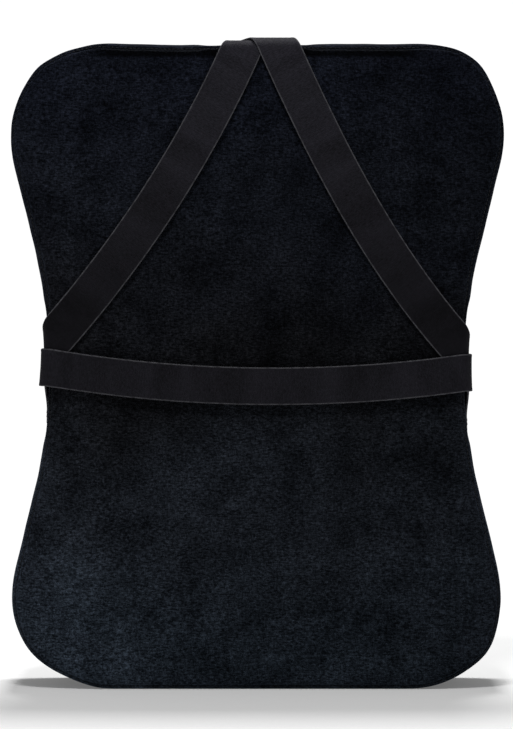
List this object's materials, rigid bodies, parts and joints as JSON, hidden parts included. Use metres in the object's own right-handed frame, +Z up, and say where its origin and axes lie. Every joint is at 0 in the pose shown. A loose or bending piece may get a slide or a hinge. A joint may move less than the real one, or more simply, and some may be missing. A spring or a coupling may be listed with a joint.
{
  "type": "lumbar support cushion",
  "caption": "Hourglass lumbar cushion: contoured foam in a zipped velour cover, with elastic straps that cross its flat back to hold it on a chair back.",
  "frame": {"origin": "middle of the bottom edge of the flat back face", "axes": "+Z up the cushion, +X to the right as seen from behind the chair, +Y towards the sitter's back"},
  "size_m": [0.3298, 0.1159, 0.4365],
  "materials": {
    "velour": "black crushed velour with a short pile",
    "webbing": "black woven elastic webbing",
    "thread": "black bonded sewing thread",
    "zip_tape": "woven black tape",
    "zip_nylon": "black nylon",
    "zip_metal": "black painted zinc",
    "liner_cloth": "pale knitted liner",
    "foam": "open-cell memory foam"
  },
  "bodies": {
    "cushion": {"foam_core": "foam", "inner_liner": "liner_cloth", "cover_back_panel": "velour", "cover_front_panel": "velour", "cover_boxing_band": "velour", "cover_base_band_rear": "velour", "cover_base_band_front": "velour", "zip_tape_rear": "zip_tape", "zip_tape_front": "zip_tape", "zip_teeth_rear": "zip_nylon", "zip_teeth_front": "zip_nylon", "zip_top_stops": "zip_nylon", "zip_bottom_stop": "zip_nylon", "top_tacks": "thread", "side_tacks_left": "thread", "side_tacks_right": "thread"},
    "waist_strap": {"waist_strap": "webbing"},
    "left_shoulder_strap": {"left_shoulder_strap": "webbing"},
    "right_shoulder_strap": {"right_shoulder_strap": "webbing"},
    "zip_slider": {"zip_slider": "zip_metal"},
    "zip_pull": {"zip_pull": "zip_metal"}
  },
  "joints": [
    {"name": "waist_strap_pull", "type": "slide", "parent": "cushion", "child": "waist_strap", "axis": [0, -1, 0], "range_m": [0, 0.05], "stiffness_N_per_m": 150},
    {"name": "left_shoulder_strap_pull", "type": "slide", "parent": "cushion", "child": "left_shoulder_strap", "axis": [0, -1, 0], "range_m": [0, 0.05], "stiffness_N_per_m": 150},
    {"name": "right_shoulder_strap_pull", "type": "slide", "parent": "cushion", "child": "right_shoulder_strap", "axis": [0, -1, 0], "range_m": [0, 0.05], "stiffness_N_per_m": 150},
    {"name": "zip_slider_travel", "type": "slide", "parent": "cushion", "child": "zip_slider", "axis": [-1, 0, 0], "range_m": [0, 0.154]},
    {"name": "zip_pull_swing", "type": "hinge", "parent": "zip_slider", "child": "zip_pull", "pos_m": [0.077, 0.042, 0.00265], "axis": [0, 1, 0], "range_deg": [-160, 0]}
  ],
  "couplings": [
    {"joint": "left_shoulder_strap_pull", "follows": "waist_strap_pull", "ratio": 1},
    {"joint": "right_shoulder_strap_pull", "follows": "waist_strap_pull", "ratio": 1}
  ]
}
